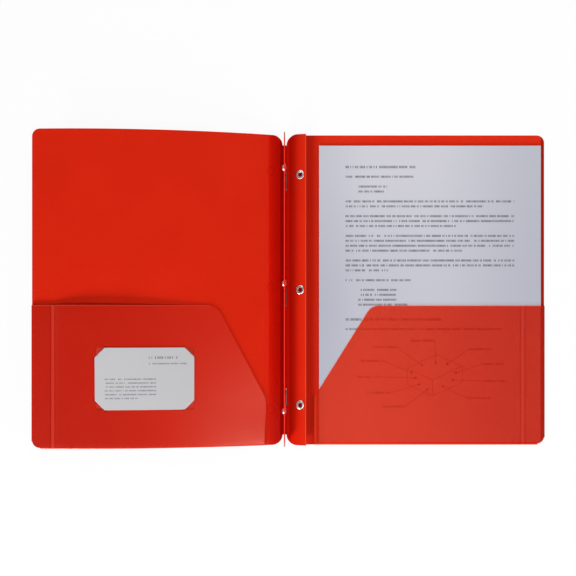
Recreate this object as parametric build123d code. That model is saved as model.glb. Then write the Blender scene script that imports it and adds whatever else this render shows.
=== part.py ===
from build123d import *
import math
import os

# Two pocket folder of polypropylene sheet, lying open on a table.
# +X runs from the front cover to the back cover, +Y up the page, +Z up.
# The origin is on the table, under the middle of the open folder. Millimetres.

# Sheet and the layers that lie on a cover
SHEET_T = 0.6
LAYER_GAP = 0.05
PAPER_T = 0.3
PAPER_ROOM = 0.25
CARD_T = 0.35

# Covers and spine
FOLDER_H = 292.0
BACK_W = 239.3
FRONT_REACH = 226.0
SPINE_W = 10.0
OUTER_CORNER_R = 7.0

# The front cover stands up from the spine in a shallow bow
BOW_R = 1000.0
BOW_START_DEG = 10.9
HINGE_BAND_W = 12.5

# Notches at both ends of the spine, rounded into the covers
NOTCH_W = 3.8
NOTCH_DEPTH = 9.5

# Pockets: the top edge starts at the cover's outer edge, and the inner edge keeps clear of the spine
POCKET_H = 131.0
LEFT_POCKET_KNEE_H = 42.9
LEFT_POCKET_TOP_W = 167.2
LEFT_POCKET_KNEE_CLEAR = 13.0
LEFT_POCKET_FOOT_CLEAR = 14.9
RIGHT_POCKET_KNEE_H = 45.0
RIGHT_POCKET_TOP_W = 163.3
RIGHT_POCKET_KNEE_CLEAR = 22.2
RIGHT_POCKET_FOOT_CLEAR = 21.8
POCKET_TOP_R = 13.0
LEFT_POCKET_KNEE_R = 20.0
RIGHT_POCKET_KNEE_R = 6.0
TAB_W = 20.0
CREASE_W = 0.8
CREASE_DEPTH = 0.12
CREASE_PITCH = 3.2

# Card in the left pocket's slits
CARD_W = 88.9
CARD_H = 56.7
CARD_FROM_EDGE = 58.3
CARD_FROM_BOTTOM = 35.5
CARD_CORNER_CUT = 8.7
SLIT_W = 0.9
SLIT_OVERRUN = 2.0
CARD_LINK_W = 0.4

# Insert sheet in the right pocket, by its margins on the back cover
SHEET_FROM_EDGE = 3.5
SHEET_FROM_SPINE = 26.7
SHEET_FROM_BOTTOM = 2.6
SHEET_FROM_TOP = 10.0

# Standing leaf on the spine, which carries the prong fasteners
LEAF_T = 1.2
LEAF_TOP = 10.0
LEAF_FROM_MIDDLE = -0.85
LEAF_FOOT_W = 2.6

# Eyelet flap beside the standing leaf
FLAP_HINGE_FROM_MIDDLE = 3.8
FLAP_FOOT_W = 3.2
FLAP_REACH = 15.6
FLAP_START_DEG = 25.0
FLAP_END_DEG = 2.0

# Fasteners
HOLE_PITCH = 108.0
FLAP_EYELET_FROM_HINGE = 10.0
EYELET_RX = 3.5
EYELET_RY = 4.2
EYELET_RIM = 1.2
EYELET_WALL = 0.4
EYELET_FLANGE_T = 0.35
EYELET_CLEAR = 0.02
RIVET_OFFSET = 5.5
RIVET_Z = 6.6
RIVET_R = 3.1
RIVET_BARREL_R = 1.6
RIVET_HOLE_R = 1.1
RIVET_FLANGE_T = 0.9
BASE_T = 0.5
BASE_BACK = 3.4
BASE_HEIGHT = 5.2
BASE_CORNER_R = 1.0
TANG_T = 0.35
TANG_W = 2.6
TANG_Z = 7.2
TANG_TIP = 21.5
TANG_CLEAR = 0.1

# Places that follow from the sizes above
FRONT_EDGE_X = -(FRONT_REACH + SPINE_W + BACK_W) / 2
FRONT_HINGE_X = FRONT_EDGE_X + FRONT_REACH
BACK_HINGE_X = FRONT_HINGE_X + SPINE_W
BACK_EDGE_X = BACK_HINGE_X + BACK_W
MIDDLE_X = FRONT_HINGE_X + SPINE_W / 2
LEAF_X = MIDDLE_X + LEAF_FROM_MIDDLE
LEAF_LEFT_X = LEAF_X - LEAF_T / 2
LEAF_RIGHT_X = LEAF_X + LEAF_T / 2
FLAP_HINGE_X = MIDDLE_X + FLAP_HINGE_FROM_MIDDLE
FLAP_EYELET_X = FLAP_HINGE_X + FLAP_EYELET_FROM_HINGE

TAB_LOW = SHEET_T + LAYER_GAP
TAB_HIGH = TAB_LOW + SHEET_T
PAPER_LOW = TAB_HIGH + LAYER_GAP
PAPER_HIGH = PAPER_LOW + PAPER_T
PANEL_LOW = PAPER_HIGH + PAPER_ROOM
PANEL_HIGH = PANEL_LOW + SHEET_T
CARD_LOW = PANEL_HIGH + LAYER_GAP
CARD_HIGH = CARD_LOW + CARD_T
CARD_CORNER_HIGH = PANEL_LOW - LAYER_GAP
CARD_CORNER_LOW = CARD_CORNER_HIGH - CARD_T

BOTTOM_FOLD_R = PANEL_HIGH / 2
SIDE_FOLD_R = (PANEL_HIGH - TAB_LOW) / 2
TOP_Y = FOLDER_H / 2
BOTTOM_Y = -FOLDER_H / 2
FOLD_Y = BOTTOM_Y + BOTTOM_FOLD_R
POCKET_TOP_Y = BOTTOM_Y + POCKET_H
LEFT_KNEE_Y = BOTTOM_Y + LEFT_POCKET_KNEE_H
RIGHT_KNEE_Y = BOTTOM_Y + RIGHT_POCKET_KNEE_H
LEFT_FOOT_X = FRONT_HINGE_X - LEFT_POCKET_FOOT_CLEAR
RIGHT_FOOT_X = BACK_HINGE_X + RIGHT_POCKET_FOOT_CLEAR

# The prongs' root is such that, raised, the pair stands in the middle of the paper hole
TANG_PAIR_T = 2 * TANG_T + LAYER_GAP
TANG_ROOT = RIVET_OFFSET + TANG_PAIR_T / 2

# Each fastener has the height of its paper hole and the way its prongs lie
FASTENERS = {
    "top": (HOLE_PITCH, -1),
    "middle": (0.0, -1),
    "bottom": (-HOLE_PITCH, 1),
}


class Arch:
    """A bow about an axis along Y, given by the radius of its lower face."""

    def __init__(self, start_x, start_z, slope_deg, radius, towards):
        slope = math.radians(slope_deg)
        self.radius = radius
        self.x = start_x + towards * radius * math.sin(slope)
        self.z = start_z - radius * math.cos(slope)

    def height(self, x, offset):
        return self.z + math.sqrt((self.radius + offset) ** 2 - (x - self.x) ** 2)

    def tilt_deg(self, x):
        return math.degrees(math.asin((x - self.x) / self.radius))

    def layer(self, outline, low, high):
        """The part of a bent sheet, between two offsets, that lies inside an outline."""
        length = 2 * FOLDER_H
        outer = Cylinder(self.radius + high, length)
        inner = Cylinder(self.radius + low, length)
        shell = Pos(self.x, 0, self.z) * Rot(X=90) * (outer - inner)
        return extrude(Pos(Z=self.z) * outline, 2 * self.radius) & shell

    def fold(self, profile, half_deg):
        """A folded edge that runs along the bow, from a profile over the bow's axis."""
        axis = Axis((self.x, 0, self.z), (0, 1, 0))
        return revolve(profile.rotate(axis, -half_deg), axis, 2 * half_deg)


def flat_layer(outline, low, high):
    return extrude(Pos(Z=low) * outline, high - low)


def rounded_face(corners):
    """Face with straight sides between corners, each given as x, y and its rounding radius."""
    edges = []
    ends = []
    for number, (x, y, radius) in enumerate(corners):
        corner = Vector(x, y)
        before = (Vector(*corners[number - 1][:2]) - corner).normalized()
        after = (Vector(*corners[(number + 1) % len(corners)][:2]) - corner).normalized()
        half = math.radians(before.get_angle(after)) / 2
        back = radius / math.tan(half)
        start = corner + before * back
        end = corner + after * back
        ends.append((start, end))
        if radius > 0:
            inward = (before + after).normalized()
            crown = corner + inward * (radius / math.sin(half) - radius)
            edges.append(ThreePointArc(start, crown, end))
    for number, (start, _) in enumerate(ends):
        edges.append(Line(ends[number - 1][1], start))
    return make_face(edges)


def fold_profile(radius, out):
    """Half ring of sheet in the plane of out and +Z, bulging towards out, with its middle at the origin."""
    inner = radius - SHEET_T
    half = make_face([
        ThreePointArc((0, -radius), (radius, 0), (0, radius)),
        Line((0, radius), (0, inner)),
        ThreePointArc((0, inner), (inner, 0), (0, -inner)),
        Line((0, -inner), (0, -radius)),
    ])
    out = Vector(*out)
    return Plane(origin=(0, 0, 0), x_dir=out, z_dir=out.cross(Vector(0, 0, 1))) * half


def strip(x_from, x_to, y_from, y_to):
    width = x_to - x_from
    height = y_to - y_from
    return Pos((x_from + x_to) / 2, (y_from + y_to) / 2) * Rectangle(abs(width), abs(height))


def notches():
    """Both notches at the ends of the spine, as one tall cutter."""
    left = LEAF_X - NOTCH_W / 2
    right = LEAF_X + NOTCH_W / 2
    floor = TOP_Y - NOTCH_DEPTH
    above = TOP_Y + NOTCH_DEPTH
    bend = NOTCH_DEPTH * math.sqrt(0.5)
    outline = make_face([
        Line((left - NOTCH_DEPTH, above), (left - NOTCH_DEPTH, TOP_Y)),
        ThreePointArc((left - NOTCH_DEPTH, TOP_Y), (left - NOTCH_DEPTH + bend, floor + bend), (left, floor)),
        Line((left, floor), (right, floor)),
        ThreePointArc((right, floor), (right + NOTCH_DEPTH - bend, floor + bend), (right + NOTCH_DEPTH, TOP_Y)),
        Line((right + NOTCH_DEPTH, TOP_Y), (right + NOTCH_DEPTH, above)),
        Line((right + NOTCH_DEPTH, above), (left - NOTCH_DEPTH, above)),
    ])
    cutter = extrude(Pos(Z=-FOLDER_H) * outline, 2 * FOLDER_H)
    return cutter + mirror(cutter, Plane.XZ)


def cover_outline(hinge_x, edge_x, step_x):
    """Cover that reaches down to the fold's line beside the pocket, where its edge is a plain cut."""
    return rounded_face([
        (hinge_x, BOTTOM_Y, 0),
        (step_x, BOTTOM_Y, 0),
        (step_x, FOLD_Y, 0),
        (edge_x, FOLD_Y, OUTER_CORNER_R),
        (edge_x, TOP_Y, OUTER_CORNER_R),
        (hinge_x, TOP_Y, 0),
    ])


def pocket_outline(edge_x, inward, top_w, knee, foot_x):
    side_x = edge_x + inward * SIDE_FOLD_R
    return rounded_face([
        (side_x, FOLD_Y, OUTER_CORNER_R),
        (foot_x, FOLD_Y, 0),
        knee,
        (edge_x + inward * top_w, POCKET_TOP_Y, POCKET_TOP_R),
        (side_x, POCKET_TOP_Y, 0),
    ])


def crease_lines(edge_x, inward):
    """Two pressed lines beside the edge of the tab that is folded in behind the pocket."""
    lines = []
    for number in range(2):
        middle = edge_x + inward * (TAB_W + number * CREASE_PITCH - CREASE_PITCH / 2)
        lines.append(strip(middle - CREASE_W / 2, middle + CREASE_W / 2, BOTTOM_Y, POCKET_TOP_Y + CREASE_W))
    return lines


def tab_outline(edge_x, inward):
    side_x = edge_x + inward * SIDE_FOLD_R
    return strip(side_x, edge_x + inward * TAB_W, BOTTOM_Y + OUTER_CORNER_R, POCKET_TOP_Y)


def side_fold(edge_x, inward, middle_z):
    low_y = BOTTOM_Y + OUTER_CORNER_R
    profile = fold_profile(SIDE_FOLD_R, (-inward, 0, 0))
    placed = Pos(edge_x + inward * SIDE_FOLD_R, (low_y + POCKET_TOP_Y) / 2, middle_z) * profile
    return extrude(placed, (POCKET_TOP_Y - low_y) / 2, both=True)


def fold_limits(edge_x, inward, foot_x):
    """Block over the stretch of the bottom edge that is folded up into the pocket."""
    outline = strip(edge_x + inward * OUTER_CORNER_R, foot_x, BOTTOM_Y - SHEET_T, FOLD_Y)
    return extrude(Pos(Z=-FOLDER_H) * outline, 2 * FOLDER_H)


def back_cover():
    outline = cover_outline(BACK_HINGE_X, BACK_EDGE_X, RIGHT_FOOT_X - LAYER_GAP)
    return flat_layer(outline, 0, SHEET_T) - notches()


def right_pocket():
    knee = (BACK_HINGE_X + RIGHT_POCKET_KNEE_CLEAR, RIGHT_KNEE_Y, RIGHT_POCKET_KNEE_R)
    outline = pocket_outline(BACK_EDGE_X, -1, RIGHT_POCKET_TOP_W, knee, RIGHT_FOOT_X)
    panel = flat_layer(outline, PANEL_LOW, PANEL_HIGH)
    for line in crease_lines(BACK_EDGE_X, -1):
        panel -= flat_layer(line, PANEL_HIGH - CREASE_DEPTH, PANEL_HIGH + CREASE_DEPTH)
    profile = Pos(BACK_EDGE_X, FOLD_Y, BOTTOM_FOLD_R) * fold_profile(BOTTOM_FOLD_R, (0, -1, 0))
    fold = extrude(profile, 2 * BACK_W, both=True) & fold_limits(BACK_EDGE_X, -1, RIGHT_FOOT_X)
    return panel + fold


def right_pocket_tab():
    tab = flat_layer(tab_outline(BACK_EDGE_X, -1), TAB_LOW, TAB_HIGH)
    return tab + side_fold(BACK_EDGE_X, -1, TAB_LOW + SIDE_FOLD_R)


def insert_sheet():
    left = BACK_HINGE_X + SHEET_FROM_SPINE
    right = BACK_EDGE_X - SHEET_FROM_EDGE
    outline = strip(left, right, BOTTOM_Y + SHEET_FROM_BOTTOM, TOP_Y - SHEET_FROM_TOP)
    return flat_layer(outline, PAPER_LOW, PAPER_HIGH)


BOW = Arch(FRONT_HINGE_X, 0, BOW_START_DEG, BOW_R, -1)


def front_cover():
    outline = cover_outline(FRONT_HINGE_X, FRONT_EDGE_X, LEFT_FOOT_X + LAYER_GAP)
    cover = BOW.layer(outline, 0, SHEET_T) - notches()
    crease_x = FRONT_HINGE_X - HINGE_BAND_W
    crease = strip(crease_x - CREASE_W / 2, crease_x + CREASE_W / 2, BOTTOM_Y, TOP_Y)
    return cover - BOW.layer(crease, SHEET_T - CREASE_DEPTH, SHEET_T + CREASE_DEPTH)


def card_corners():
    """The card's four corners, each with the signs of its two directions from the card's middle."""
    left = FRONT_EDGE_X + CARD_FROM_EDGE
    low = BOTTOM_Y + CARD_FROM_BOTTOM
    for side_x, along_x in ((left, 1), (left + CARD_W, -1)):
        for side_y, along_y in ((low, 1), (low + CARD_H, -1)):
            yield side_x, side_y, along_x, along_y


def diagonal(corner, width, overrun):
    """Strip along the diagonal slit that holds one corner of the card."""
    side_x, side_y, along_x, along_y = corner
    middle_x = side_x + along_x * CARD_CORNER_CUT / 2
    middle_y = side_y + along_y * CARD_CORNER_CUT / 2
    length = CARD_CORNER_CUT * math.sqrt(2) + 2 * overrun
    return Pos(middle_x, middle_y) * Rot(Z=-45 * along_x * along_y) * Rectangle(length, width)


def left_pocket():
    knee = (FRONT_HINGE_X - LEFT_POCKET_KNEE_CLEAR, LEFT_KNEE_Y, LEFT_POCKET_KNEE_R)
    outline = pocket_outline(FRONT_EDGE_X, 1, LEFT_POCKET_TOP_W, knee, LEFT_FOOT_X)
    panel = BOW.layer(outline, PANEL_LOW, PANEL_HIGH)
    for line in crease_lines(FRONT_EDGE_X, 1):
        panel -= BOW.layer(line, PANEL_HIGH - CREASE_DEPTH, PANEL_HIGH + CREASE_DEPTH)
    for corner in card_corners():
        panel -= BOW.layer(diagonal(corner, SLIT_W, SLIT_OVERRUN), PANEL_LOW - LAYER_GAP, PANEL_HIGH + LAYER_GAP)
    profile = Pos(BOW.x, FOLD_Y, BOW.z + BOW.radius + BOTTOM_FOLD_R) * fold_profile(BOTTOM_FOLD_R, (0, -1, 0))
    fold = BOW.fold(profile, 2 * BOW_START_DEG) & fold_limits(FRONT_EDGE_X, 1, LEFT_FOOT_X)
    return panel + fold


def left_pocket_tab():
    tab = BOW.layer(tab_outline(FRONT_EDGE_X, 1), TAB_LOW, TAB_HIGH)
    return tab + side_fold(FRONT_EDGE_X, 1, BOW.height(FRONT_EDGE_X + SIDE_FOLD_R, TAB_LOW + SIDE_FOLD_R))


def name_card():
    """Card whose corners pass through the slits and lie behind the pocket's panel."""
    left = FRONT_EDGE_X + CARD_FROM_EDGE
    low = BOTTOM_Y + CARD_FROM_BOTTOM
    whole = strip(left, left + CARD_W, low, low + CARD_H)
    face = whole
    tucked = []
    for side_x, side_y, along_x, along_y in card_corners():
        triangle = make_face(Polyline(
            (side_x, side_y),
            (side_x + along_x * CARD_CORNER_CUT, side_y),
            (side_x, side_y + along_y * CARD_CORNER_CUT),
            close=True))
        face -= triangle
        tucked.append(triangle)
    card = BOW.layer(face, CARD_LOW, CARD_HIGH)
    for corner, triangle in zip(card_corners(), tucked):
        card += BOW.layer(diagonal(corner, CARD_LINK_W, 0) & whole, CARD_CORNER_LOW, CARD_HIGH)
        card += BOW.layer(triangle, CARD_CORNER_LOW, CARD_CORNER_HIGH)
    return card


def spine_panel():
    return flat_layer(strip(FRONT_HINGE_X, BACK_HINGE_X, BOTTOM_Y, TOP_Y), 0, SHEET_T) - notches()


def across_leaf(x, y, z):
    """Place whose local Z points along +X and whose local X points up the page."""
    return Plane(origin=(x, y, z), x_dir=(0, 1, 0), z_dir=(1, 0, 0))


def rivet_y(name):
    hole_y, lie = FASTENERS[name]
    return hole_y - lie * RIVET_OFFSET


def prong_leaf():
    foot = flat_layer(strip(LEAF_LEFT_X - LEAF_FOOT_W, LEAF_LEFT_X, BOTTOM_Y, TOP_Y), SHEET_T, 2 * SHEET_T)
    leaf = flat_layer(strip(LEAF_LEFT_X, LEAF_RIGHT_X, BOTTOM_Y, TOP_Y), SHEET_T, LEAF_TOP)
    leaf += foot - notches()
    for name in FASTENERS:
        hole = across_leaf(LEAF_X, rivet_y(name), RIVET_Z) * Circle(RIVET_BARREL_R + EYELET_CLEAR)
        leaf -= extrude(hole, LEAF_T, both=True)
    return leaf


def prong_rivet(name):
    flange = across_leaf(LEAF_LEFT_X, rivet_y(name), RIVET_Z) * Circle(RIVET_R)
    barrel = across_leaf(LEAF_LEFT_X, rivet_y(name), RIVET_Z) * Circle(RIVET_BARREL_R)
    bore = across_leaf(LEAF_X, rivet_y(name), RIVET_Z) * Circle(RIVET_HOLE_R)
    rivet = extrude(flange, -RIVET_FLANGE_T) + extrude(barrel, LEAF_T + BASE_T)
    return rivet - extrude(bore, LEAF_T + BASE_T + RIVET_FLANGE_T, both=True)


def prong_base(name):
    lie = FASTENERS[name][1]
    middle_y = rivet_y(name) + lie * (TANG_ROOT - BASE_BACK) / 2
    outline = RectangleRounded(TANG_ROOT + BASE_BACK, BASE_HEIGHT, BASE_CORNER_R)
    plate = across_leaf(LEAF_RIGHT_X, middle_y, RIVET_Z) * outline
    hole = across_leaf(LEAF_RIGHT_X, rivet_y(name), RIVET_Z) * Circle(RIVET_BARREL_R + EYELET_CLEAR)
    return extrude(plate, BASE_T) - extrude(hole, BASE_T)


def tang(name, layer):
    """One of the two flat prongs, with a round tip, lying along the leaf."""
    lie = FASTENERS[name][1]
    face_x = LEAF_RIGHT_X + BASE_T + TANG_CLEAR + layer * (TANG_T + LAYER_GAP)
    length = TANG_TIP - TANG_ROOT
    half = TANG_W / 2
    outline = make_face([
        Line((0, -half), (length - half, -half)),
        ThreePointArc((length - half, -half), (length, 0), (length - half, half)),
        Line((length - half, half), (0, half)),
        Line((0, half), (0, -half)),
    ])
    root = across_leaf(face_x, rivet_y(name) + lie * TANG_ROOT, TANG_Z)
    turned = Rot(Z=0 if lie > 0 else 180)
    return extrude(root * turned * outline, TANG_T)


def flap_arch():
    start = math.radians(FLAP_START_DEG)
    end = math.radians(FLAP_END_DEG)
    radius = FLAP_REACH / (math.sin(start) - math.sin(end))
    return Arch(FLAP_HINGE_X, SHEET_T, FLAP_START_DEG, radius, 1)


def eyelet_place(name):
    """Place on the flap's lower face, square to it, at one eyelet."""
    arch = flap_arch()
    spot = Pos(FLAP_EYELET_X, FASTENERS[name][0], arch.height(FLAP_EYELET_X, 0))
    return spot * Rot(Y=arch.tilt_deg(FLAP_EYELET_X))


def flap_foot():
    outline = strip(FLAP_HINGE_X - FLAP_FOOT_W, FLAP_HINGE_X, BOTTOM_Y, TOP_Y)
    return flat_layer(outline, SHEET_T, 2 * SHEET_T) - notches()


def eyelet_flap():
    outline = strip(FLAP_HINGE_X, FLAP_HINGE_X + FLAP_REACH, BOTTOM_Y, TOP_Y)
    flap = flap_arch().layer(outline, 0, SHEET_T) - notches()
    for name in FASTENERS:
        hole = Ellipse(EYELET_RX - EYELET_RIM + EYELET_CLEAR, EYELET_RY - EYELET_RIM + EYELET_CLEAR)
        flap -= extrude(eyelet_place(name) * hole, 2 * SHEET_T, both=True)
    return flap


def flap_eyelet(name):
    """Oval eyelet with a flange on each face of the bent flap."""
    sag = EYELET_RX ** 2 / (2 * flap_arch().radius)
    low = -sag - EYELET_CLEAR - EYELET_FLANGE_T
    high = SHEET_T + EYELET_CLEAR + EYELET_FLANGE_T
    flange = Ellipse(EYELET_RX, EYELET_RY)
    barrel = Ellipse(EYELET_RX - EYELET_RIM, EYELET_RY - EYELET_RIM)
    bore = Ellipse(EYELET_RX - EYELET_RIM - EYELET_WALL, EYELET_RY - EYELET_RIM - EYELET_WALL)
    eyelet = flat_layer(barrel, low, high)
    eyelet += flat_layer(flange, low, low + EYELET_FLANGE_T)
    eyelet += flat_layer(flange, high - EYELET_FLANGE_T, high)
    return eyelet_place(name) * (eyelet - flat_layer(bore, low, high))


def all_parts():
    parts = {
        "back_cover": back_cover(),
        "right_pocket": right_pocket(),
        "right_pocket_tab": right_pocket_tab(),
        "insert_sheet": insert_sheet(),
        "front_cover": front_cover(),
        "left_pocket": left_pocket(),
        "left_pocket_tab": left_pocket_tab(),
        "name_card": name_card(),
        "spine_panel": spine_panel(),
        "prong_leaf": prong_leaf(),
        "flap_foot": flap_foot(),
        "eyelet_flap": eyelet_flap(),
    }
    for name in FASTENERS:
        parts[f"prong_rivet_{name}"] = prong_rivet(name)
        parts[f"prong_base_{name}"] = prong_base(name)
        parts[f"inner_tang_{name}"] = tang(name, 0)
        parts[f"outer_tang_{name}"] = tang(name, 1)
        parts[f"flap_eyelet_{name}"] = flap_eyelet(name)
    return parts


os.makedirs("parts", exist_ok=True)
for node, shape in all_parts().items():
    export_step(shape, f"parts/{node}.step")
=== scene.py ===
import math

import bmesh
import bpy
from mathutils import Matrix, Vector


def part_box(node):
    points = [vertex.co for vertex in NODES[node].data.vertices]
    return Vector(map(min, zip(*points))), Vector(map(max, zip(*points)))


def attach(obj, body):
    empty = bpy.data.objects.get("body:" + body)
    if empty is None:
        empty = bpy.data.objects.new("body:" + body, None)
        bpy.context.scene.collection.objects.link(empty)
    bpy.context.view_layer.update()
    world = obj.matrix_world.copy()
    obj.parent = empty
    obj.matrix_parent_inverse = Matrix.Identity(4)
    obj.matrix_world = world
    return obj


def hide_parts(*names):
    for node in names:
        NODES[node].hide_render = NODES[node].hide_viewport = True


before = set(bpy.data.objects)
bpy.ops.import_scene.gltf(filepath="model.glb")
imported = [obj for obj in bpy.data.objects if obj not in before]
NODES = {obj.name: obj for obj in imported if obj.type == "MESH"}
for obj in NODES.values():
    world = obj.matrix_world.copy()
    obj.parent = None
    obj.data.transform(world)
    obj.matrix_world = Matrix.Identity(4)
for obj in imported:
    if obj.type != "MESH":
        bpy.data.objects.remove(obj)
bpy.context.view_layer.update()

SCENE = bpy.context.scene
MM = 0.001
FASTENERS = ("top", "middle", "bottom")


def box_mm(node):
    """Lowest and highest corner of a CAD node, in millimetres."""
    low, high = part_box(node)
    return Vector(low) / MM, Vector(high) / MM


# Places of the folder's own sheets, in millimetres
COVER_LOW, COVER_HIGH = box_mm("front_cover")
FLAP_LOW, FLAP_HIGH = box_mm("eyelet_flap")
PAPER_LOW, PAPER_HIGH = box_mm("insert_sheet")
CARD_LOW, CARD_HIGH = box_mm("name_card")
LEAF_HIGH = box_mm("prong_leaf")[1]
PANEL_HIGH = box_mm("right_pocket")[1]
FRONT_EDGE_X = COVER_LOW.x
FRONT_HINGE_X = box_mm("spine_panel")[0].x
BACK_EDGE_X = PANEL_HIGH.x
TOP_Y = COVER_HIGH.y
BOTTOM_Y = -TOP_Y
LEAF_T = 1.2
LEAF_MIDDLE_X = LEAF_HIGH.x - LEAF_T / 2

# Sheet and the layers that lie on a cover
SHEET_T = 0.6
CARD_T = 0.35
CARD_GAP = 0.05
PANEL_TOP = PANEL_HIGH.z
PANEL_MIDDLE = PANEL_TOP - SHEET_T / 2
PANEL_BOTTOM = PANEL_TOP - SHEET_T
CARD_BOTTOM = PANEL_TOP + CARD_GAP
CARD_CORNER_BOTTOM = PANEL_BOTTOM - CARD_GAP - CARD_T
FOLD_R = PANEL_TOP / 2
FOLD_MIDDLE_R = FOLD_R - SHEET_T / 2
FOLD_Y = BOTTOM_Y + FOLD_R

# Bow of the front cover, its corners and its pressed line beside the spine
BOW_R = 1000.0
BOW_START_DEG = 10.9
HINGE_BAND_W = 12.5
COVER_CREASE_X = FRONT_HINGE_X - HINGE_BAND_W
CREASE_DEPTH = 0.14
CREASE_HALF_W = 0.5
OUTER_CORNER_R = 7.0
SPINE_CORNER_R = 9.5
NOTCH_HALF_W = 1.9

# Left pocket and its outline
POCKET_TOP_Y = PANEL_HIGH.y
POCKET_KNEE_Y = BOTTOM_Y + 42.9
POCKET_SIDE_X = FRONT_EDGE_X + 0.9
POCKET_TOP_END_X = FRONT_EDGE_X + 167.2
POCKET_KNEE_X = FRONT_HINGE_X - 13.0
POCKET_FOOT_X = FRONT_HINGE_X - 14.9
COVER_STEP_X = POCKET_FOOT_X + 0.05
POCKET_TOP_R = 13.0
POCKET_KNEE_R = 20.0
FOLD_CORNER_GAP = 0.5

# Welds of the two side tabs, and the pressed lines beside the left one
TAB_W = 20.0
LEFT_WELD_X = FRONT_EDGE_X + TAB_W
RIGHT_WELD_X = BACK_EDGE_X - TAB_W
WELD_HALF_W = 1.6
TAB_CREASES = (LEFT_WELD_X - WELD_HALF_W, LEFT_WELD_X + WELD_HALF_W)

# How the left pocket's mouth stands open, and how its slanted edge lies lower
MOUTH_RISE = 1.8
MOUTH_LEAN = 0.5
MOUTH_ROUNDNESS = 1.5
MOUTH_LIFT = 1.6
SLANT_DROP = 1.15
SLANT_DROP_RUN = 90.0
SLANT_DROP_FOOT = 0.3

# The card's corners and the diagonal slits that hold them
CARD_CORNER_CUT = 8.7
SLIT_HALF_W = 0.45
SLIT_OVERRUN = 2.0
CARD_BEND_HALF_W = SLIT_HALF_W * 0.8
DIAGONAL = math.sqrt(0.5)
SLIT_HALF_LENGTH = CARD_CORNER_CUT * DIAGONAL + SLIT_OVERRUN

# Eyelet flap beside the standing leaf
FLAP_HINGE_X = FLAP_LOW.x
FLAP_END_X = FLAP_HIGH.x
FLAP_START_DEG = 25.0
FLAP_END_DEG = 2.0

# Fineness of the bent sheets, and how near counts as the same place
BEND_STEP = 5.0
FOLD_STEPS = 10
CORNER_STEPS = 10
SOFT_ANGLE = math.radians(35)
CUT_DIST = 1e-5
MERGE_DIST = 1e-4
ON_LINE_DIST = 0.01

# The camera's view: straight down, in a square frame, with the table's scale in pixels
FRAME_SIDE = 576
PIXELS_PER_MM = 1.0572
CAMERA_HEIGHT = 500 * MM
CAMERA_SENSOR_MM = 36.0
VIEW_CENTRE = Vector((-4.25, 1.9, 0)) * MM
CAMERA_FORWARD = 36 * MM


class Bow:
    """Bend about an axis along Y, given by the radius of its lower face and its slope where it starts."""

    def __init__(self, start_x, start_z, slope_deg, radius, towards):
        slope = math.radians(slope_deg)
        self.radius = radius
        self.x = start_x + towards * radius * math.sin(slope)
        self.z = start_z - radius * math.cos(slope)

    def height(self, x, offset):
        return self.z + math.sqrt((self.radius + offset) ** 2 - (x - self.x) ** 2)


def flap_bow():
    """The eyelet flap's bend, from its steep root to its nearly flat free edge."""
    start = math.radians(FLAP_START_DEG)
    end = math.radians(FLAP_END_DEG)
    radius = (FLAP_END_X - FLAP_HINGE_X) / (math.sin(start) - math.sin(end))
    return Bow(FLAP_HINGE_X, SHEET_T, FLAP_START_DEG, radius, 1)


COVER_BOW = Bow(FRONT_HINGE_X, 0, BOW_START_DEG, BOW_R, -1)
FLAP_BOW = flap_bow()


def cut_sheet(corners):
    """Flat die-cut sheet in the XY plane from corners, each given as x, y and its rounding radius."""
    made = bmesh.new()
    verts = [made.verts.new((*corner[:2], 0)) for corner in corners]
    made.faces.new(verts)
    for number, vert in enumerate(verts):
        radius = corners[number][2]
        if radius == 0:
            continue
        here = Vector(corners[number][:2])
        before = Vector(corners[number - 1][:2]) - here
        after = Vector(corners[(number + 1) % len(corners)][:2]) - here
        reach = radius / math.tan(before.angle(after) / 2)
        bmesh.ops.bevel(made, geom=[vert], offset=reach, offset_type="OFFSET", segments=CORNER_STEPS,
                        profile=0.5, affect="VERTICES", material=-1, clamp_overlap=False)
    return made


def score(made, point, across, drop=False):
    """Cut along a line through a point, square to across, and with drop take away what lies beyond it."""
    everything = made.verts[:] + made.edges[:] + made.faces[:]
    bmesh.ops.bisect_plane(made, geom=everything, dist=CUT_DIST, plane_co=(*point, 0), plane_no=(*across, 0),
                           clear_outer=drop)


def score_grid(made, low, high, step, across):
    """Evenly spaced cuts between two places along X or Y, for the sheet to bend at."""
    count = max(2, round((high - low) / step))
    for number in range(1, count):
        place = low + (high - low) * number / count
        score(made, (place * across[0], place * across[1]), across)


def score_crease(made, crease_x):
    """Cuts along a pressed line and both its sides."""
    for place in (crease_x - CREASE_HALF_W, crease_x, crease_x + CREASE_HALF_W):
        score(made, (place, 0), (1, 0))


def thicken(made, bottom, thickness):
    """Give a flat sheet its thickness, from the height of its lower face."""
    bmesh.ops.translate(made, verts=made.verts[:], vec=(0, 0, bottom))
    grown = bmesh.ops.extrude_face_region(made, geom=made.faces[:])["geom"]
    raised = [part for part in grown if isinstance(part, bmesh.types.BMVert)]
    bmesh.ops.translate(made, verts=raised, vec=(0, 0, thickness))


def soften(piece):
    """Smooth shading over bends, with sharp cut edges kept."""
    piece.data.shade_smooth()
    piece.data.set_sharp_from_angle(angle=SOFT_ANGLE)


def place_piece(made, name, body, material, stands_for):
    """Turn a mesh in millimetres into a finished piece of the folder that moves with a body."""
    bmesh.ops.scale(made, vec=(MM, MM, MM), verts=made.verts[:])
    bmesh.ops.remove_doubles(made, verts=made.verts[:], dist=MERGE_DIST * MM)
    bmesh.ops.recalc_face_normals(made, faces=made.faces[:])
    mesh = bpy.data.meshes.new(name)
    made.to_mesh(mesh)
    made.free()
    mesh.materials.append(material)
    piece = bpy.data.objects.new(name, mesh)
    SCENE.collection.objects.link(piece)
    soften(piece)
    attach(piece, body)
    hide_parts(stands_for)


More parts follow.
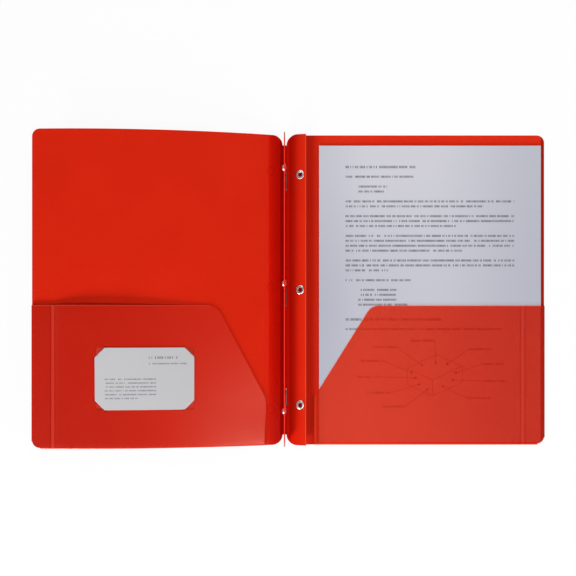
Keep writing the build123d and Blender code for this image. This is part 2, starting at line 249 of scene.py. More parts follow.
def smooth_share(value, low, high):
    """0 at low and 1 at high, with a smooth way between."""
    share = min(max((value - low) / (high - low), 0.0), 1.0)
    return share * share * (3 - 2 * share)


def slant_distance(x, y):
    """Distance from the left pocket's slanted edge."""
    slant = Vector((POCKET_TOP_END_X - POCKET_KNEE_X, POCKET_TOP_Y - POCKET_KNEE_Y)).normalized()
    return (y - POCKET_KNEE_Y) * slant.x - (x - POCKET_KNEE_X) * slant.y


def mouth_rise(x, y):
    """How far the left pocket's panel stands open at its mouth, or lies lower towards its slanted edge."""
    up = (y - FOLD_Y) / (POCKET_TOP_Y - FOLD_Y)
    if up <= 0:
        return 0.0
    near_slant = 1 - smooth_share(slant_distance(x, y), 0.0, SLANT_DROP_RUN)
    drop = SLANT_DROP * smooth_share(up, 0.0, SLANT_DROP_FOOT) * near_slant
    along = (x - TAB_CREASES[1]) / (POCKET_TOP_END_X - TAB_CREASES[1])
    if not 0 < along < 1:
        return -drop
    arch = math.sin(math.pi * along ** MOUTH_LEAN) ** MOUTH_ROUNDNESS
    return MOUTH_RISE * arch * min(up, 1.0) ** MOUTH_LIFT - drop


def bowed_cover(material):
    """Front cover: one bent sheet with rounded corners and a pressed line beside the spine."""
    spine_x = LEAF_MIDDLE_X - NOTCH_HALF_W
    made = cut_sheet([
        (FRONT_EDGE_X, FOLD_Y, OUTER_CORNER_R),
        (COVER_STEP_X, FOLD_Y, 0),
        (COVER_STEP_X, BOTTOM_Y, 0),
        (spine_x, BOTTOM_Y, SPINE_CORNER_R),
        (spine_x, TOP_Y, SPINE_CORNER_R),
        (FRONT_EDGE_X, TOP_Y, OUTER_CORNER_R),
    ])
    score(made, (FRONT_HINGE_X, 0), (1, 0), drop=True)
    score_grid(made, FRONT_EDGE_X, FRONT_HINGE_X, BEND_STEP, (1, 0))
    score_crease(made, COVER_CREASE_X)
    thicken(made, 0, SHEET_T)
    for vert in made.verts:
        offset = vert.co.z
        if offset > SHEET_T / 2 and abs(vert.co.x - COVER_CREASE_X) < ON_LINE_DIST:
            offset -= CREASE_DEPTH
        vert.co.z = COVER_BOW.height(vert.co.x, offset)
    place_piece(made, "bowed_cover", "front", material, "front_cover")


def card_corners():
    """The card's corners as x, y and the signs of the two directions to the card's middle."""
    for x, along_x in ((CARD_LOW.x, 1), (CARD_HIGH.x, -1)):
        for y, along_y in ((CARD_LOW.y, 1), (CARD_HIGH.y, -1)):
            yield x, y, along_x, along_y


def score_slits(made, half_width, half_length=None):
    """Cut along both sides of the four diagonal slits, and across their ends where a length is given."""
    for x, y, along_x, along_y in card_corners():
        across = (along_x * DIAGONAL, along_y * DIAGONAL)
        along = (-across[1], across[0])
        middle = Vector((x + along_x * CARD_CORNER_CUT / 2, y + along_y * CARD_CORNER_CUT / 2))
        for side in (-half_width, half_width):
            score(made, middle + Vector(across) * side, across)
        if half_length is None:
            continue
        for end in (-half_length, half_length):
            score(made, middle + Vector(along) * end, along)


def in_slit(x, y):
    """Whether a point of the flat panel lies in one of the slits."""
    for corner_x, corner_y, along_x, along_y in card_corners():
        from_x = (x - corner_x) * along_x - CARD_CORNER_CUT / 2
        from_y = (y - corner_y) * along_y - CARD_CORNER_CUT / 2
        across = (from_x + from_y) * DIAGONAL
        along = (from_x - from_y) * DIAGONAL
        if abs(across) < SLIT_HALF_W and abs(along) < SLIT_HALF_LENGTH:
            return True
    return False


def pocket_place(x, y, offset):
    """Where a point of the flat pocket goes once its foot is folded under and its mouth stands open."""
    if y >= FOLD_Y:
        return y, offset + mouth_rise(x, y)
    turn = (FOLD_Y - y) / FOLD_MIDDLE_R
    reach = FOLD_MIDDLE_R + offset - PANEL_MIDDLE
    return FOLD_Y - reach * math.sin(turn), FOLD_R + reach * math.cos(turn)


def left_pocket(material):
    """Left pocket: one bent sheet with four slits, whose foot is folded round to the cover's edge."""
    strip = math.pi * FOLD_MIDDLE_R
    fold_start_x = POCKET_SIDE_X + OUTER_CORNER_R + FOLD_CORNER_GAP
    made = cut_sheet([
        (POCKET_SIDE_X, FOLD_Y, OUTER_CORNER_R),
        (fold_start_x, FOLD_Y, 0),
        (fold_start_x, FOLD_Y - strip, 0),
        (POCKET_FOOT_X, FOLD_Y - strip, 0),
        (POCKET_FOOT_X, FOLD_Y, 0),
        (POCKET_KNEE_X, POCKET_KNEE_Y, POCKET_KNEE_R),
        (POCKET_TOP_END_X, POCKET_TOP_Y, POCKET_TOP_R),
        (POCKET_SIDE_X, POCKET_TOP_Y, 0),
    ])
    score(made, (0, FOLD_Y), (0, 1))
    score_slits(made, SLIT_HALF_W, SLIT_HALF_LENGTH)
    score_grid(made, POCKET_SIDE_X, POCKET_KNEE_X, BEND_STEP, (1, 0))
    score_grid(made, FOLD_Y, POCKET_TOP_Y, BEND_STEP, (0, 1))
    score_grid(made, FOLD_Y - strip, FOLD_Y, strip / FOLD_STEPS, (0, 1))
    for crease_x in TAB_CREASES:
        score_crease(made, crease_x)
    open_faces = []
    for face in made.faces:
        middle = face.calc_center_median()
        if in_slit(middle.x, middle.y):
            open_faces.append(face)
    bmesh.ops.delete(made, geom=open_faces, context="FACES")
    thicken(made, PANEL_BOTTOM, SHEET_T)
    for vert in made.verts:
        x, y, offset = vert.co
        pressed = min(abs(x - crease_x) for crease_x in TAB_CREASES) < ON_LINE_DIST
        if pressed and offset > PANEL_MIDDLE:
            offset -= CREASE_DEPTH
        y, offset = pocket_place(x, y, offset)
        vert.co = (x, y, COVER_BOW.height(x, offset))
    place_piece(made, "left_pocket_panel", "front", material, "left_pocket")


def tucked_card(material):
    """Card on the left pocket, whose corners dip through the slits behind the panel."""
    made = cut_sheet([
        (CARD_LOW.x, CARD_LOW.y, 0),
        (CARD_HIGH.x, CARD_LOW.y, 0),
        (CARD_HIGH.x, CARD_HIGH.y, 0),
        (CARD_LOW.x, CARD_HIGH.y, 0),
    ])
    score_slits(made, CARD_BEND_HALF_W)
    score_grid(made, CARD_LOW.x, CARD_HIGH.x, BEND_STEP, (1, 0))
    score_grid(made, CARD_LOW.y, CARD_HIGH.y, BEND_STEP, (0, 1))
    thicken(made, 0, CARD_T)
    for vert in made.verts:
        x, y, offset = vert.co
        base = CARD_BOTTOM
        for corner_x, corner_y, along_x, along_y in card_corners():
            if (x - corner_x) * along_x + (y - corner_y) * along_y < CARD_CORNER_CUT:
                base = CARD_CORNER_BOTTOM
        vert.co.z = COVER_BOW.height(x, base + offset + mouth_rise(x, y))
    place_piece(made, "tucked_card", "front", material, "name_card")


# Metal fittings
EYELET_X = FLAP_HINGE_X + 10.0
EYELET_RX = 3.5
EYELET_RY = 4.2
EYELET_BORE = 1.9
EYELET_BARREL = 2.3
RIVET_R = 3.1
RIVET_Z = 6.6
RIVET_HEAD = 1.6
RIVET_BORE = 1.1
RIVET_BARREL = RIVET_BORE + 0.5
RIVET_CLINCH = 0.4
SPIN_STEPS = 48

# A rolled rim from the bore outwards: shares of its width and of its height
RIM_HEIGHT = 0.5
RIM_PROFILE = ((0.0, 0.1), (0.18, 0.8), (0.5, 1.0), (0.82, 0.72), (1.0, 0.25), (1.0, 0.04))
RIM_OVERLAP = 0.02


def turned(profile):
    """Ring with a closed profile of radius and height pairs, spun about Z."""
    made = bmesh.new()
    verts = [made.verts.new((radius, 0, height)) for radius, height in profile]
    edges = []
    for number, vert in enumerate(verts):
        edges.append(made.edges.new((verts[number - 1], vert)))
    bmesh.ops.spin(made, geom=verts + edges, cent=(0, 0, 0), axis=(0, 0, 1), dvec=(0, 0, 0),
                   angle=2 * math.pi, steps=SPIN_STEPS, use_merge=True, use_duplicate=False)
    bmesh.ops.remove_doubles(made, verts=made.verts[:], dist=MERGE_DIST)
    return made


def set_in_place(made, turn, place):
    """Turn a ring about Y and move it to its place."""
    bmesh.ops.rotate(made, cent=(0, 0, 0), matrix=Matrix.Rotation(turn, 3, "Y"), verts=made.verts[:])
    bmesh.ops.translate(made, vec=place, verts=made.verts[:])


def rolled_rim(outer, inner, face, up):
    """Profile points of a rolled rim that stands on a face, from the bore outwards."""
    points = []
    for across, share in RIM_PROFILE:
        points.append((inner + across * (outer - inner), face + up * share * RIM_HEIGHT))
    return points


def eyelet(name, material):
    """Oval eyelet with a rolled rim on both faces of the flap."""
    rise = EYELET_RX ** 2 / (2 * FLAP_BOW.radius)
    top = rolled_rim(EYELET_RX, EYELET_BORE, SHEET_T, 1)
    foot = rolled_rim(EYELET_RX, EYELET_BORE, -rise, -1)
    wall = [(EYELET_BARREL, SHEET_T - RIM_OVERLAP), (EYELET_BARREL, -rise + RIM_OVERLAP)]
    made = turned(top + wall + foot[::-1])
    bmesh.ops.scale(made, vec=(1, EYELET_RY / EYELET_RX, 1), verts=made.verts[:])
    tilt = math.asin((EYELET_X - FLAP_BOW.x) / FLAP_BOW.radius)
    low, high = box_mm(f"flap_eyelet_{name}")
    set_in_place(made, tilt, Vector((EYELET_X, (low.y + high.y) / 2, FLAP_BOW.height(EYELET_X, 0))))
    place_piece(made, f"rolled_eyelet_{name}", "flap", material, f"flap_eyelet_{name}")


def rivet(name, material):
    """Tubular rivet through the leaf: a domed head on one side, and its clinched end on the base plate."""
    low, high = box_mm(f"prong_rivet_{name}")
    length = high.x - LEAF_HIGH.x + LEAF_T + RIVET_CLINCH
    head = [
        (RIVET_BORE, 0.15),
        (RIVET_BORE + 0.35, -RIVET_HEAD * 0.8),
        (RIVET_BORE + 0.8, -RIVET_HEAD),
        (RIVET_R - 0.7, -RIVET_HEAD * 0.8),
        (RIVET_R - 0.15, -RIVET_HEAD * 0.35),
        (RIVET_R, 0.0),
    ]
    clinched_end = [
        (RIVET_BARREL, 0.0),
        (RIVET_BARREL, length - 0.45),
        (RIVET_BARREL + 0.6, length - 0.4),
        (RIVET_BARREL + 0.65, length - 0.2),
        (RIVET_BARREL, length - 0.02),
        (RIVET_BORE, length - 0.2),
    ]
    made = turned(head + clinched_end)
    set_in_place(made, math.pi / 2, Vector((LEAF_HIGH.x - LEAF_T, (low.y + high.y) / 2, RIVET_Z)))
    place_piece(made, f"domed_rivet_{name}", "spine", material, f"prong_rivet_{name}")


class Wire:
    """A node's output that takes part in Python arithmetic."""

    def __init__(self, nodes, socket):
        self.nodes = nodes
        self.socket = socket

    def __add__(self, other):
        return self.nodes.maths("ADD", self, other)

    def __radd__(self, other):
        return self.nodes.maths("ADD", other, self)

    def __sub__(self, other):
        return self.nodes.maths("SUBTRACT", self, other)

    def __rsub__(self, other):
        return self.nodes.maths("SUBTRACT", other, self)

    def __mul__(self, other):
        return self.nodes.maths("MULTIPLY", self, other)

    def __rmul__(self, other):
        return self.nodes.maths("MULTIPLY", other, self)

    def __truediv__(self, other):
        return self.nodes.maths("DIVIDE", self, other)

    def __rtruediv__(self, other):
        return self.nodes.maths("DIVIDE", other, self)

    def __gt__(self, other):
        return self.nodes.maths("GREATER_THAN", self, other)

    def __lt__(self, other):
        return self.nodes.maths("LESS_THAN", self, other)

    def __abs__(self):
        return self.nodes.maths("ABSOLUTE", self)

    def __floor__(self):
        return self.nodes.maths("FLOOR", self)


# Sockets of a Mix node that mixes colours
MIX_SHARE = 0
MIX_FIRST = 6
MIX_SECOND = 7
MIX_RESULT = 2


class Nodes:
    """A node tree that grows by one node at a time."""

    def __init__(self, tree):
        self.tree = tree

    def node(self, kind, settings=None, inputs=None, output=0):
        """Add a node, given its settings and its sockets' values or wires, and return one of its outputs."""
        made = self.tree.nodes.new("ShaderNode" + kind)
        for name, value in (settings or {}).items():
            setattr(made, name, value)
        for name, value in (inputs or {}).items():
            self.feed(made.inputs[name], value)
        return Wire(self, made.outputs[output])

    def output_beside(self, wire, name):
        """Another output of the node that a wire comes from."""
        return Wire(self, wire.socket.node.outputs[name])

    def feed(self, socket, value):
        """Link a wire to a socket, or set a plain value on it."""
        if isinstance(value, Wire):
            self.tree.links.new(value.socket, socket)
        else:
            socket.default_value = value

    def maths(self, operation, *values):
        return self.node("Math", {"operation": operation}, dict(enumerate(values)))

    def mix(self, share, first, second):
        """A colour between two others."""
        inputs = {MIX_SHARE: share, MIX_FIRST: first, MIX_SECOND: second}
        return self.node("Mix", {"data_type": "RGBA"}, inputs, MIX_RESULT)

    def rise(self, value, low, high):
        """0 at low and 1 at high, with a smooth way between."""
        settings = {"interpolation_type": "SMOOTHSTEP", "clamp": True}
        return self.node("MapRange", settings, {"Value": value, "From Min": low, "From Max": high})


class Finish(Nodes):
    """One material, as arithmetic on the object's coordinates in millimetres."""

    def __init__(self, name):
        self.material = bpy.data.materials.new(name)
        self.material.use_nodes = True
        super().__init__(self.material.node_tree)
        self.shader = self.tree.nodes["Principled BSDF"]
        place = self.node("TexCoord", output="Object")
        self.place = self.node("VectorMath", {"operation": "SCALE"}, {0: place, "Scale": 1 / MM})
        self.x = self.node("SeparateXYZ", None, {0: self.place}, "X")
        self.y = self.output_beside(self.x, "Y")

    def noise(self, size, detail=2.0):
        return self.node("TexNoise", None, {"Vector": self.place, "Scale": 1 / size, "Detail": detail})

    def chance(self, across, down):
        """A random value for each whole-number cell."""
        cell = self.node("CombineXYZ", None, {"X": across, "Y": down})
        return self.node("TexWhiteNoise", {"noise_dimensions": "2D"}, {"Vector": cell})

    def bump(self, height_mm):
        return self.node("Bump", None, {"Height": height_mm, "Distance": MM})

    def mixed_with(self, share, other):
        """Let another shader through the ones before it."""
        surface = self.tree.nodes["Material Output"].inputs["Surface"]
        own = Wire(self, surface.links[0].from_socket)
        self.feed(surface, self.node("MixShader", None, {0: share, 1: own, 2: other}))
        return self.material

    def coat(self, **values):
        """Set sockets of the main shader, named with _ for a space."""
        for name, value in values.items():
            self.feed(self.shader.inputs[name.replace("_", " ")], value)
        return self.material


def screen(red, green, blue):
    """Shader colour from the 0 to 255 values of a screen, by the sRGB curve."""
    def channel(value):
        share = value / 255
        return share / 12.92 if share <= 0.04045 else ((share + 0.055) / 1.055) ** 2.4
    return (channel(red), channel(green), channel(blue), 1.0)


# Reds of the folder's plastic. A pocket's three are deep, plain and pale; the pale one is painted light
# towards the spine.
# The reds of the outer edge, the band, the valley, the gutter and the flap's foot are painted shade, the
# flap's edge red is a painted highlight, and the leaf's edge red and the stress red are the paleness of cut
# edges and welds and, on edges, also a painted highlight.
COVER_RED = screen(214, 38, 17)
COVER_RED_DEEP = screen(207, 35, 15)
BACK_RED = screen(222, 45, 22)
BACK_RED_DEEP = screen(215, 42, 20)
LEFT_POCKET_REDS = (screen(180, 22, 3), screen(187, 24, 5), screen(203, 27, 4))
RIGHT_POCKET_REDS = (screen(186, 33, 14), screen(193, 38, 18), screen(207, 55, 31))
EDGE_SHADE_RED = screen(160, 30, 20)
BAND_SHADE_RED = screen(200, 14, 3)
VALLEY_SHADE_RED = screen(156, 3, 0)
GUTTER_SHADE_RED = screen(162, 5, 0)
FLAP_FOOT_SHADE_RED = screen(200, 9, 0)
FLAP_EDGE_HIGHLIGHT_RED = screen(240, 72, 44)
LEAF_CUT_EDGE_AND_HIGHLIGHT_RED = screen(234, 52, 38)
LEAF_TAIL_GREY = screen(168, 138, 134)
STRESS_AND_HIGHLIGHT_RED = screen(232, 70, 54)
SHEEN_TINT = (1.0, 0.6, 0.46, 1.0)
POCKET_TINT = (1.0, 0.66, 0.58, 1.0)

# Paper, card and their print
PAPER_WHITE = screen(209, 208, 216)
PAPER_SHADE = screen(203, 202, 210)
PAPER_IN_PAINTED_SHADE = screen(150, 153, 170)
PAPER_INK = screen(52, 52, 60)
CARD_WHITE = screen(191, 190, 192)
CARD_SHADE = screen(185, 184, 186)
CARD_INK = screen(70, 76, 98)

# Steel of the eyelets and rivets, and of the prongs
PLATED_STEEL = screen(236, 235, 236)
WORN_STEEL = screen(198, 195, 194)
PRONG_STEEL = screen(176, 168, 166)
PRONG_STEEL_WORN = screen(140, 132, 130)


def between(value, low, high):
    """1 between low and high, and 0 elsewhere."""
    return (value > low) * (value < high)


# The plastic's pressed grain in millimetres, and what it does to colour and roughness
GRAIN_SIZE = 0.8
GRAIN_DETAIL = 3.0
COARSE_GRAIN_SIZE = 2.0
GRAIN_HEIGHT = 0.2
GRAIN_ROUGHNESS = 0.14
CLOUD_SIZE = 45.0
GRAIN_TONE = 0.55
CLOUD_TONE = 0.45
TONE_RANGE = (0.3, 0.7)
PLAIN_GLOSS = 0.03
PLAIN_ROUGHNESS = 0.32


def grained(finish, first, second, extra_height=0.0, gloss=PLAIN_GLOSS, roughness=PLAIN_ROUGHNESS):
    """The folder's plastic: colour that drifts a little, and the fine pressed grain."""
    grain = finish.noise(GRAIN_SIZE, GRAIN_DETAIL) * 0.5 + finish.noise(COARSE_GRAIN_SIZE) * 0.5
    cloud = finish.noise(CLOUD_SIZE)
    tone = finish.rise(grain * GRAIN_TONE + cloud * CLOUD_TONE, *TONE_RANGE)
    finish.coat(Roughness=roughness + grain * GRAIN_ROUGHNESS,
                Normal=finish.bump(grain * GRAIN_HEIGHT + extra_height),
                Specular_IOR_Level=gloss, Specular_Tint=SHEEN_TINT)
    return finish.mix(tone, first, second)


# Painted shade on the back cover and its pocket: distances from the outer edge and from the flap's free edge,
# where the flap's painted shadow falls
OUTER_SHADE_LINE = (2.6, 1.4)
FLAP_SHADE_RUN = (4.0, 20.0)
COVER_FLAP_SHADE = 0.5
POCKET_FLAP_SHADE = 0.4


def painted_edge_shade(finish):
    """Painted shade in a line along the back cover's outer edge."""
    return finish.rise(finish.x, BACK_EDGE_X - OUTER_SHADE_LINE[0], BACK_EDGE_X - OUTER_SHADE_LINE[1])


def painted_flap_shadow(finish):
    """The strip next to the flap's free edge, where the flap's shadow is painted."""
    return 1.0 - finish.rise(abs(finish.x - FLAP_END_X), *FLAP_SHADE_RUN)


def red_plastic():
    """The back cover's plastic, with the flap's painted shadow beside the flap and painted shade along its
    outer edge.
    """
    finish = Finish("red_plastic")
    plain = grained(finish, BACK_RED_DEEP, BACK_RED)
    # painted shadow of the flap's free edge on the back cover
    shaded = finish.mix(painted_flap_shadow(finish) * COVER_FLAP_SHADE, plain, GUTTER_SHADE_RED)
    # painted shade along the outer edge
    return finish.coat(Base_Color=finish.mix(painted_edge_shade(finish), shaded, EDGE_SHADE_RED))


# The band beside the spine, darkened with painted shade, and the faint marks where the eyelets press on the
# cover when it is closed, pressed in and darkened with painted shade
BAND_START_X = COVER_CREASE_X - 0.5
BAND_FULL_X = COVER_CREASE_X + 3.5
BAND_DEEP_X = COVER_CREASE_X + 3.0
BAND_SHADE_SHARE = 0.85
BAND_DEEP_SHADE_SHARE = 0.45
COVER_ROUGHNESS = 0.4
BAND_SMOOTHNESS = 0.16
MARK_X = FRONT_HINGE_X - 8.6
MARK_YS = (112.0, 2.5, -112.0)
MARK_RX = 3.4
MARK_RY = 4.2
MARK_BLUR = 0.7
MARK_DEPTH = 0.06
MARK_SHADE_SHARE = 0.25


def bowed_plastic():
    """The front cover's plastic, smoother beside the spine and marked there by the eyelets; painted shade
    darkens the band, most towards the hinge, and the marks.
    """
    finish = Finish("bowed_plastic")
    marks = 0.0
    for mark_y in MARK_YS:
        across = (finish.x - MARK_X) / MARK_RX
        up = (finish.y - mark_y) / MARK_RY
        ring = abs(across * across + up * up - 1.0)
        marks = marks + (1.0 - finish.rise(ring, 0.0, MARK_BLUR))
    plain = grained(finish, COVER_RED_DEEP, COVER_RED, marks * -MARK_DEPTH)
    # painted shade: the band beside the spine, deepest at the hinge, and the eyelets' pressed marks
    band = finish.rise(finish.x, BAND_START_X, BAND_FULL_X)
    deep = finish.rise(finish.x, BAND_DEEP_X, FRONT_HINGE_X)
    band_shaded = finish.mix(band * BAND_SHADE_SHARE, plain, BAND_SHADE_RED)
    marked = finish.mix(marks * MARK_SHADE_SHARE, band_shaded, VALLEY_SHADE_RED)
    return finish.coat(Roughness=COVER_ROUGHNESS - band * BAND_SMOOTHNESS,
                       Base_Color=finish.mix(deep * BAND_DEEP_SHADE_SHARE, marked, VALLEY_SHADE_RED))


# The standing leaf from its foot, in painted shade, to its cut top edge, paler partly as a cut edge and
# partly by a painted highlight; its two ends are grey
LEAF_FOOT_Z = 2.0
LEAF_LIT_Z = LEAF_HIGH.z - 0.6
LEAF_EDGE_ZS = (LEAF_HIGH.z - 0.5, LEAF_HIGH.z - 0.1)
LEAF_EDGE_SHARE = 0.9
LEAF_TAIL_YS = (TOP_Y - 5.0, TOP_Y - 3.0)
LEAF_TAIL_SHARE = 0.8


def leaf_plastic():
    """The standing leaf's plastic: painted shade at its foot, and paler along its cut top edge, partly as a
    cut edge and partly as a painted highlight.
    """
    finish = Finish("leaf_plastic")
    # painted shade at the foot in the valley, giving way to the cover's red higher up
    plain = grained(finish, VALLEY_SHADE_RED, GUTTER_SHADE_RED)
    height = finish.output_beside(finish.x, "Z")
    lit = finish.mix(finish.rise(height, LEAF_FOOT_Z, LEAF_LIT_Z), plain, COVER_RED)
    edge = finish.rise(height, *LEAF_EDGE_ZS)
    edged = finish.mix(edge * LEAF_EDGE_SHARE, lit, LEAF_CUT_EDGE_AND_HIGHLIGHT_RED)
    tail = finish.rise(abs(finish.y), *LEAF_TAIL_YS)
    return finish.coat(Base_Color=finish.mix(tail * edge * LEAF_TAIL_SHARE, edged, LEAF_TAIL_GREY))


def gutter_plastic():
    """The spine's plastic, painted deep red as shade in the gutter between the covers."""
    finish = Finish("gutter_plastic")
    return finish.coat(Base_Color=grained(finish, VALLEY_SHADE_RED, GUTTER_SHADE_RED))


# The eyelet flap from its root, in painted shade, to its free edge with a painted highlight
FLAP_PLAIN_X = FLAP_END_X - 3.0
FLAP_SHADE_SHARE = 0.8
FLAP_ROOT_W = 4.0
FLAP_ROOT_SHADE_SHARE = 0.15
FLAP_HIGHLIGHT_XS = (FLAP_END_X - 1.2, FLAP_END_X - 0.5)
FLAP_HIGHLIGHT_SHARE = 0.75


def flap_plastic():
    """The eyelet flap's plastic: painted shade where it rises from the spine, and a painted highlight along
    its free edge.
    """
    finish = Finish("flap_plastic")
    plain = grained(finish, COVER_RED_DEEP, COVER_RED)
    # painted shade where the flap rises, and more at its root
    deep = finish.node("MapRange", {"clamp": True},
                       {"Value": finish.x, "From Min": FLAP_PLAIN_X, "From Max": FLAP_HINGE_X})
    root = 1.0 - finish.rise(finish.x, FLAP_HINGE_X, FLAP_HINGE_X + FLAP_ROOT_W)
    rise_shaded = finish.mix(deep * FLAP_SHADE_SHARE, plain, FLAP_FOOT_SHADE_RED)
    shaded = finish.mix(root * FLAP_ROOT_SHADE_SHARE, rise_shaded, VALLEY_SHADE_RED)
    # painted highlight along the flap's free edge
    edge = finish.rise(finish.x, *FLAP_HIGHLIGHT_XS)
    return finish.coat(Base_Color=finish.mix(edge * FLAP_HIGHLIGHT_SHARE, shaded, FLAP_EDGE_HIGHLIGHT_RED))


# The thin pockets: their painted light towards the spine, the weld's lines and ticks with painted shade in
# the pressed lines, and their paler mouth, partly a cut edge and partly a painted highlight
SEE_THROUGH = 0.55
POCKET_ROUGHNESS = 0.28
POCKET_PAINTED_LIGHT_RUN = 190.0
WELD_LINE = (1.0, 1.6)
WELD_PRESS_X = 2.1
WELD_PRESS = (0.2, 0.7)
TICKS_PER_MM = 0.7
TICK_LEAST = 0.7
TICK_SPAN = 0.3
MOUTH_EDGE_YS = (POCKET_TOP_Y - 0.9, POCKET_TOP_Y - 0.3)
MOUTH_EDGE_HIGHLIGHT_SHARE = 0.5


def pocket_plastic(name, colours, gloss, weld, window):
    """Thin pocket sheet. Inside its window, light comes through and what lies behind shows faintly.

    The weld along its side tab leaves a pale ticked line between two pressed ones, darkened with painted
    shade. The sheet is deeper over the tab and paler towards the spine by painted light; painted shadow
    darkens it beside the flap, painted shade darkens it along the back cover's outer edge, and its mouth edge
    is paler, partly as a cut edge and partly as a painted highlight."""
    finish = Finish(name)
    deep, plain, pale = colours
    weld_x, paleness, darkness = weld
    from_weld = abs(finish.x - weld_x)
    over_tab = grained(finish, deep, plain, 0.0, gloss, POCKET_ROUGHNESS)
    # painted light: the sheet turns paler from over the tab towards the spine
    painted_light_to_spine = finish.mix(finish.rise(from_weld, 0.0, POCKET_PAINTED_LIGHT_RUN), over_tab, pale)
    tick_place = finish.y * TICKS_PER_MM
    tick = TICK_LEAST + TICK_SPAN * (tick_place - math.floor(tick_place))
    line = (1.0 - finish.rise(from_weld, *WELD_LINE)) * tick * paleness
    # painted shade in the two pressed lines beside the weld
    pressed = (1.0 - finish.rise(abs(from_weld - WELD_PRESS_X), *WELD_PRESS)) * darkness
    welded = finish.mix(pressed, finish.mix(line, painted_light_to_spine, STRESS_AND_HIGHLIGHT_RED), VALLEY_SHADE_RED)
    # painted shadow of the flap's free edge on the pocket
    shaded = finish.mix(painted_flap_shadow(finish) * POCKET_FLAP_SHADE, welded, GUTTER_SHADE_RED)
    # paler mouth edge: partly the cut edge's own paleness, partly a painted highlight
    mouth = finish.rise(finish.y, *MOUTH_EDGE_YS)
    edged = finish.mix(mouth * MOUTH_EDGE_HIGHLIGHT_SHARE, shaded, STRESS_AND_HIGHLIGHT_RED)
    # painted shade along the back cover's outer edge
    finish.coat(Base_Color=finish.mix(painted_edge_shade(finish), edged, EDGE_SHADE_RED))
    low, high = window
    inside = between(finish.x, low.x, high.x) * between(finish.y, low.y, high.y)
    shadow_ray = finish.node("LightPath", output="Is Shadow Ray")
    clear = finish.node("BsdfTransparent", None, {"Color": POCKET_TINT})
    return finish.mixed_with((SEE_THROUGH + (1.0 - SEE_THROUGH) * shadow_ray) * inside, clear)


# Plain word bars: a letter's width, the inked share of it, the share of blank letters and the palest ink
LETTER_W = 1.1
LETTER_SHARE = 0.74
WORD_GAP_SHARE = 0.18
LETTER_LEAST = 0.5

# Blocks of word bars: start down the page, rows, pitch, indent, width, width of the last row, stroke
ROW_PITCH = 4.65
ROW_STROKE = 0.42
HEADING_STROKE = 0.5
SHEET_BLOCKS = (
    (19.0, 1, ROW_PITCH, 0.0, 66.0, 66.0, HEADING_STROKE),
    (28.3, 1, ROW_PITCH, 0.0, 64.0, 64.0, ROW_STROKE),
    (37.6, 2, ROW_PITCH, 12.0, 27.0, 24.0, ROW_STROKE),
    (51.6, 2, ROW_PITCH, 0.0, 159.0, 130.0, ROW_STROKE),
    (65.5, 3, ROW_PITCH, 0.0, 159.0, 104.0, ROW_STROKE),
    (84.1, 4, ROW_PITCH, 0.0, 159.0, 110.0, ROW_STROKE),
    (107.3, 3, ROW_PITCH, 0.0, 159.0, 40.0, ROW_STROKE),
    (125.9, 1, ROW_PITCH, 0.0, 62.0, 62.0, ROW_STROKE),
    (135.0, 4, ROW_PITCH, 12.0, 36.0, 46.0, ROW_STROKE),
    (162.7, 1, ROW_PITCH, 0.0, 90.0, 90.0, HEADING_STROKE),
    (172.0, 1, ROW_PITCH, 0.0, 148.0, 148.0, ROW_STROKE),
)
CARD_BLOCKS = (
    (8.0, 1, 4.0, 48.0, 26.0, 26.0, 0.55),
    (14.0, 1, 3.4, 48.0, 34.0, 34.0, 0.36),
    (28.0, 6, 3.5, 9.0, 46.0, 30.0, 0.34),
)
SHEET_MARGIN = 25.0


def text_block(finish, along, down, block):
    """Rows of plain word bars."""
    start, rows, pitch, indent, width, last_width, stroke = block
    row_place = (down - start) / pitch
    row = math.floor(row_place)
    in_rows = between(row_place, 0.0, rows)
    in_stroke = (row_place - row) < stroke
    is_last = row > rows - 1.5
    in_width = between(along, indent, indent + width - is_last * (width - last_width))
    letter_place = along / LETTER_W
    letter = math.floor(letter_place)
    darkness = finish.chance(letter, row + start)
    word = (darkness > WORD_GAP_SHARE) * (LETTER_LEAST + (1.0 - LETTER_LEAST) * darkness)
    return in_rows * in_stroke * in_width * word * (letter_place - letter < LETTER_SHARE)


# A plain sketch of a box low on the sheet, as thin lines along and down the page
BOX_LINES = (
    (86.0, 197.0, 110.0, 208.0),
    (110.0, 208.0, 110.0, 223.0),
    (110.0, 223.0, 82.0, 236.0),
    (82.0, 236.0, 58.0, 225.0),
    (58.0, 225.0, 58.0, 210.0),
    (58.0, 210.0, 86.0, 197.0),
    (58.0, 210.0, 82.0, 221.0),
    (110.0, 208.0, 82.0, 221.0),
    (82.0, 221.0, 82.0, 236.0),
)

# Leader lines of the sketch, each from a short label to a dot
LEADERS = (
    (48.0, 190.0, 72.0, 207.0),
    (36.0, 203.0, 62.0, 214.0),
    (32.0, 218.0, 66.0, 219.0),
    (42.0, 233.0, 69.0, 225.0),
    (56.0, 246.0, 77.0, 230.0),
    (84.0, 184.0, 85.0, 205.0),
    (116.0, 192.0, 96.0, 206.0),
    (128.0, 206.0, 104.0, 214.0),
    (130.0, 222.0, 101.0, 221.0),
    (114.0, 238.0, 92.0, 227.0),
)
LINE_HALF_W = 0.2
LEADER_DOT_R = 1.1
LABEL_W = 22.0
LABEL_LIFT = 1.0
LABEL_PITCH = 6.4
LABEL_STROKE = 0.3


def thin_line(along, down, line):
    """A thin straight line: where it lies, and how far past its end and aside of it a point is."""
    start = Vector(line[:2])
    run = Vector(line[2:]) - start
    length = run.length
    run.normalize()
    across = along - start.x
    below = down - start.y
    ahead = across * run.x + below * run.y
    aside = abs(across * run.y - below * run.x)
    return between(ahead, 0.0, length) * (aside < LINE_HALF_W), ahead - length, aside


